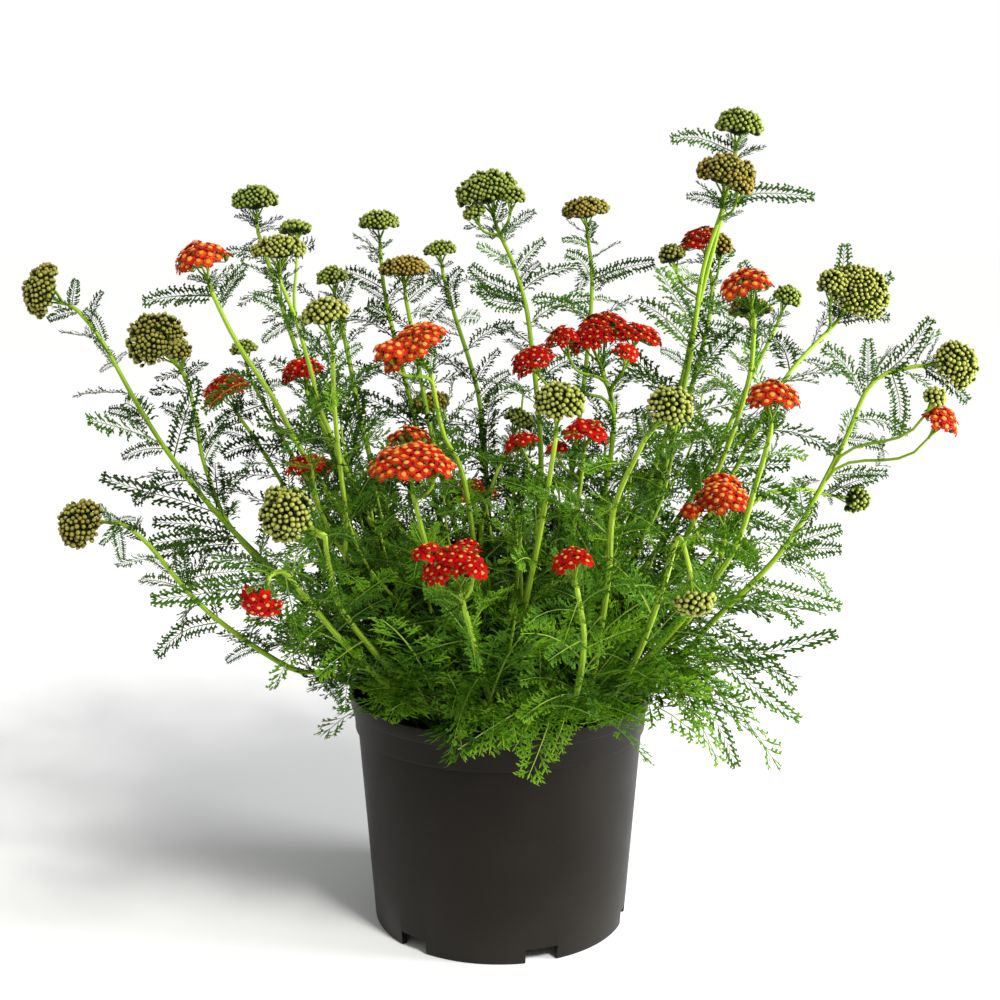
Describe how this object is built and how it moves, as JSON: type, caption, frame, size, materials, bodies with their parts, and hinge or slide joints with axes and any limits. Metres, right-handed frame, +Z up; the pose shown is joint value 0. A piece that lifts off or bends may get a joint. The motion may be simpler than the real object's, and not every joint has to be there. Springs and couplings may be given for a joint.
{
  "type": "potted yarrow plant",
  "caption": "Yarrow plant growing in a round tapered nursery pot: upright branching stems, feathery divided leaves and flat-domed heads of buds and small red and orange flowers.",
  "frame": {"origin": "on the table under the middle of the pot, which is the middle of the whole plant's box seen from above", "axes": "+Z up; -Y is the plant's front, the side seen in the picture; +X is to the right as seen from the front"},
  "size_m": [0.5101, 0.3795, 0.4468],
  "materials": {
    "pot_plastic": "satin moulded plastic, dark warm grey",
    "soil": "loose dark peat and bark mix",
    "stem_green": "ribbed, finely downy yellow-green stem",
    "leaf_green": "matte feathery leaf, mid green",
    "bud_green": "matte closed buds, yellow-green to olive",
    "flower_orange": "soft petals, orange with red edges",
    "flower_red": "soft petals, deep red with pale yellow middles"
  },
  "bodies": {
    "root": {"back_leaf": "leaf_green", "back_left_leaf": "leaf_green", "back_right_head": "bud_green", "back_right_leaf": "leaf_green", "back_right_stem": "stem_green", "back_tall_head": "bud_green", "back_tall_stem": "stem_green", "far_left_head": "bud_green", "far_left_stem": "stem_green", "far_right_head": "bud_green", "far_right_stem": "stem_green", "front_leaf": "leaf_green", "front_left_leaf": "leaf_green", "front_orange_head": "flower_orange", "front_orange_stem": "stem_green", "front_pale_head": "bud_green", "front_pale_stem": "stem_green", "front_red_head": "flower_red", "front_red_stem": "stem_green", "front_right_leaf": "leaf_green", "front_small_red_head": "flower_red", "front_small_red_stem": "stem_green", "left_front_head": "bud_green", "left_front_stem": "stem_green", "left_hanging_head": "flower_red", "left_hanging_stem": "stem_green", "left_high_head": "bud_green", "left_high_stem": "stem_green", "left_leaf": "leaf_green", "left_middle_head": "bud_green", "left_middle_stem": "stem_green", "left_orange_head": "flower_orange", "left_orange_stem": "stem_green", "left_pale_head": "bud_green", "left_pale_stem": "stem_green", "low_left_head": "bud_green", "low_left_stem": "stem_green", "middle_orange_head": "flower_orange", "middle_orange_stem": "stem_green", "nursery_pot": "pot_plastic", "potting_soil": "soil", "right_drooping_head": "bud_green", "right_drooping_stem": "stem_green", "right_large_head": "bud_green", "right_large_stem": "stem_green", "right_leaf": "leaf_green", "right_low_red_head": "flower_red", "right_low_red_stem": "stem_green", "right_orange_head": "flower_orange", "right_orange_stem": "stem_green", "right_pale_head": "bud_green", "right_pale_stem": "stem_green", "right_red_head": "flower_orange", "right_red_stem": "stem_green", "top_head": "bud_green", "top_right_head": "bud_green", "top_right_stem": "stem_green", "top_stem": "stem_green", "wide_red_head": "flower_red", "wide_red_stem": "stem_green"}
  },
  "joints": []
}
